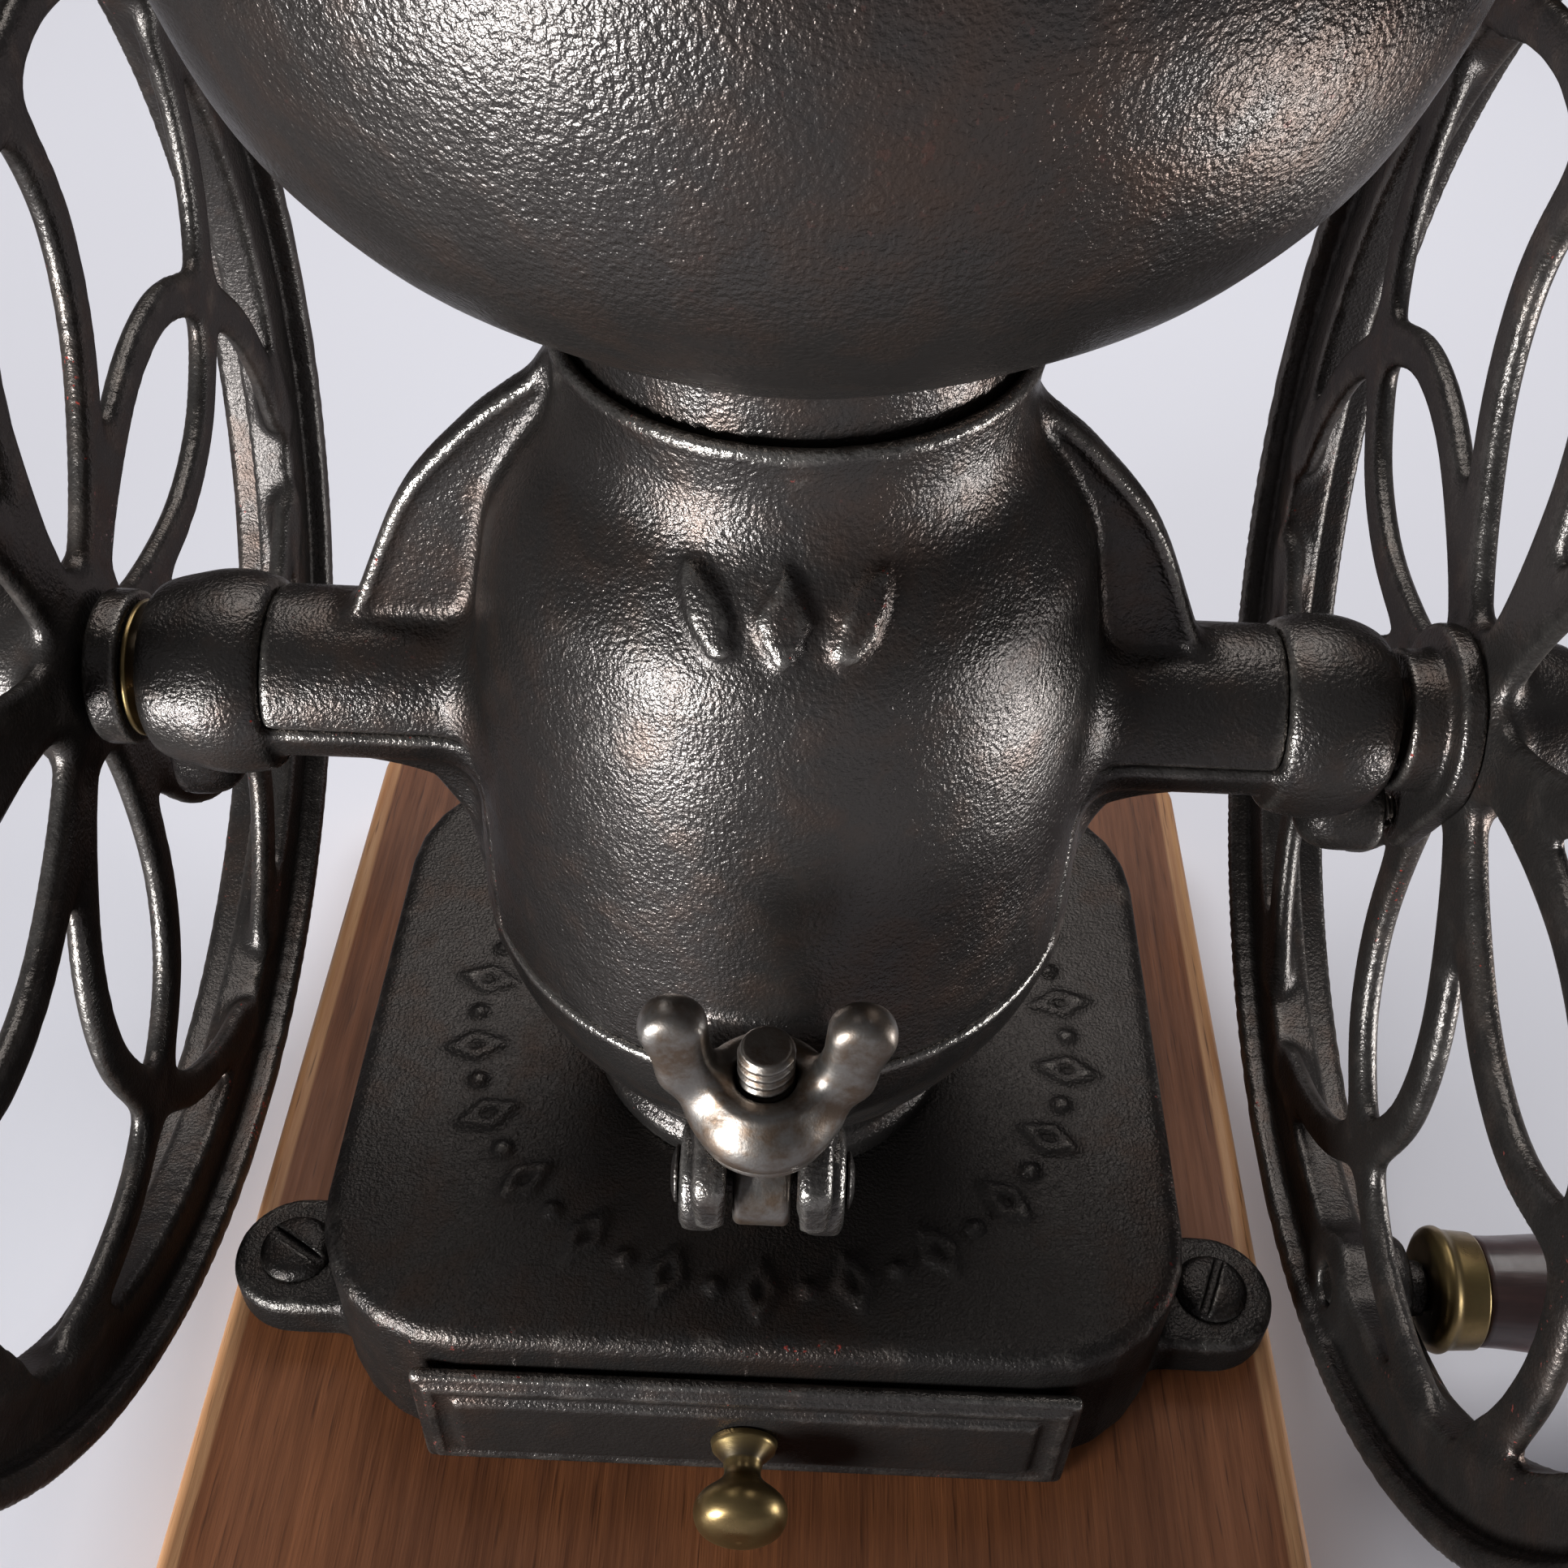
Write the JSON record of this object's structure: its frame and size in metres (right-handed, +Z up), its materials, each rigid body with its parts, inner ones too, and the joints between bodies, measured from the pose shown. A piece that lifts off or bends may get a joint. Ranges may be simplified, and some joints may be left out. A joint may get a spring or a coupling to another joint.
{
  "type": "two wheel coffee mill",
  "caption": "Cast-iron counter coffee mill: twin petal-spoked flywheels on a cross shaft, domed hopper, clamped egg-shaped body and a drawer base on a wooden board.",
  "frame": {"origin": "middle of the flat underside of the wooden board, on the surface that the mill stands on", "axes": "+X along the shaft to the wheel with the crank handle, +Y to the rear away from the clamp's wing nut, +Z up"},
  "size_m": [0.3126, 0.2222, 0.318],
  "materials": {
    "black_iron": "satin dark cast iron with old varnish, brown patches and bright worn edges",
    "dull_iron": "matt dark casting with grime",
    "worn_steel": "worn and lightly tarnished bright metal",
    "brass": "dull tarnished brass",
    "board_wood": "oiled warm brown board",
    "grip_wood": "dark polished turned wood"
  },
  "bodies": {
    "stand_and_case": {"wood_board": "board_wood", "base_casting": "dull_iron", "base_screw_1": "dull_iron", "base_screw_2": "dull_iron", "base_screw_3": "dull_iron", "base_screw_4": "dull_iron", "lower_case": "black_iron", "foot_screw_1": "dull_iron", "foot_screw_2": "dull_iron", "foot_screw_3": "dull_iron", "foot_screw_4": "dull_iron", "upper_case": "black_iron", "hinge_pin": "dull_iron", "clamp_pin": "dull_iron", "hopper": "black_iron", "lid_pivot_screw": "worn_steel", "left_bush": "brass", "right_bush": "brass", "fixed_burr": "worn_steel"},
    "drawer": {"drawer_box": "dull_iron", "drawer_front": "black_iron", "drawer_knob": "brass"},
    "lid": {"hopper_lid": "black_iron", "lid_knob": "brass"},
    "swing_bolt": {"swing_bolt": "worn_steel"},
    "clamp_washer": {"clamp_washer": "worn_steel"},
    "wing_nut": {"wing_nut": "worn_steel"},
    "adjusting_plate": {"adjusting_plate": "black_iron"},
    "adjusting_screw": {"adjusting_screw": "worn_steel"},
    "shaft_and_wheels": {"shaft": "worn_steel", "left_wheel": "black_iron", "right_wheel": "black_iron", "left_hub_nut": "dull_iron", "right_hub_nut": "dull_iron", "left_collar": "black_iron", "thrust_washer": "brass", "feed_screw": "worn_steel", "turning_burr": "worn_steel", "crank_pin": "dull_iron"},
    "crank_grip": {"grip_ferrule": "brass", "crank_grip": "grip_wood"}
  },
  "joints": [
    {"name": "grind_adjust", "type": "slide", "parent": "stand_and_case", "child": "adjusting_plate", "axis": [1, 0, 0], "range_m": [-0.0005, 0.001]},
    {"name": "adjusting_screw_turn", "type": "hinge", "parent": "adjusting_plate", "child": "adjusting_screw", "pos_m": [0.088, 0, 0.1121], "axis": [1, 0, 0], "range_deg": [-180, 360]},
    {"name": "wheel_spin", "type": "hinge", "parent": "adjusting_plate", "child": "shaft_and_wheels", "pos_m": [0, 0, 0.13], "axis": [1, 0, 0], "continuous": true},
    {"name": "grip_spin", "type": "hinge", "parent": "shaft_and_wheels", "child": "crank_grip", "pos_m": [0.15, -0.032, 0.033], "axis": [1, 0, 0], "continuous": true},
    {"name": "drawer_slide", "type": "slide", "parent": "stand_and_case", "child": "drawer", "axis": [0, -1, 0], "range_m": [0, 0.08]},
    {"name": "lid_swivel", "type": "hinge", "parent": "stand_and_case", "child": "lid", "pos_m": [0.0015, 0.068, 0.283], "axis": [0, 0, 1], "range_deg": [0, 120]},
    {"name": "bolt_swing", "type": "hinge", "parent": "stand_and_case", "child": "swing_bolt", "pos_m": [0.0015, -0.06, 0.1014], "axis": [1, 0, 0], "range_deg": [0, 100]},
    {"name": "washer_lift", "type": "slide", "parent": "swing_bolt", "child": "clamp_washer", "axis": [0, 0, 1], "range_m": [0, 0.00805]},
    {"name": "wing_nut_turn", "type": "hinge", "parent": "clamp_washer", "child": "wing_nut", "pos_m": [0.0015, -0.06, 0.119], "axis": [0, 0, 1], "range_deg": [0, 2304]}
  ],
  "couplings": [
    {"joint": "adjusting_screw_turn", "follows": "grind_adjust", "rad_per_m": 6283.2},
    {"joint": "washer_lift", "follows": "wing_nut_turn", "m_per_rad": 0.00019894}
  ]
}
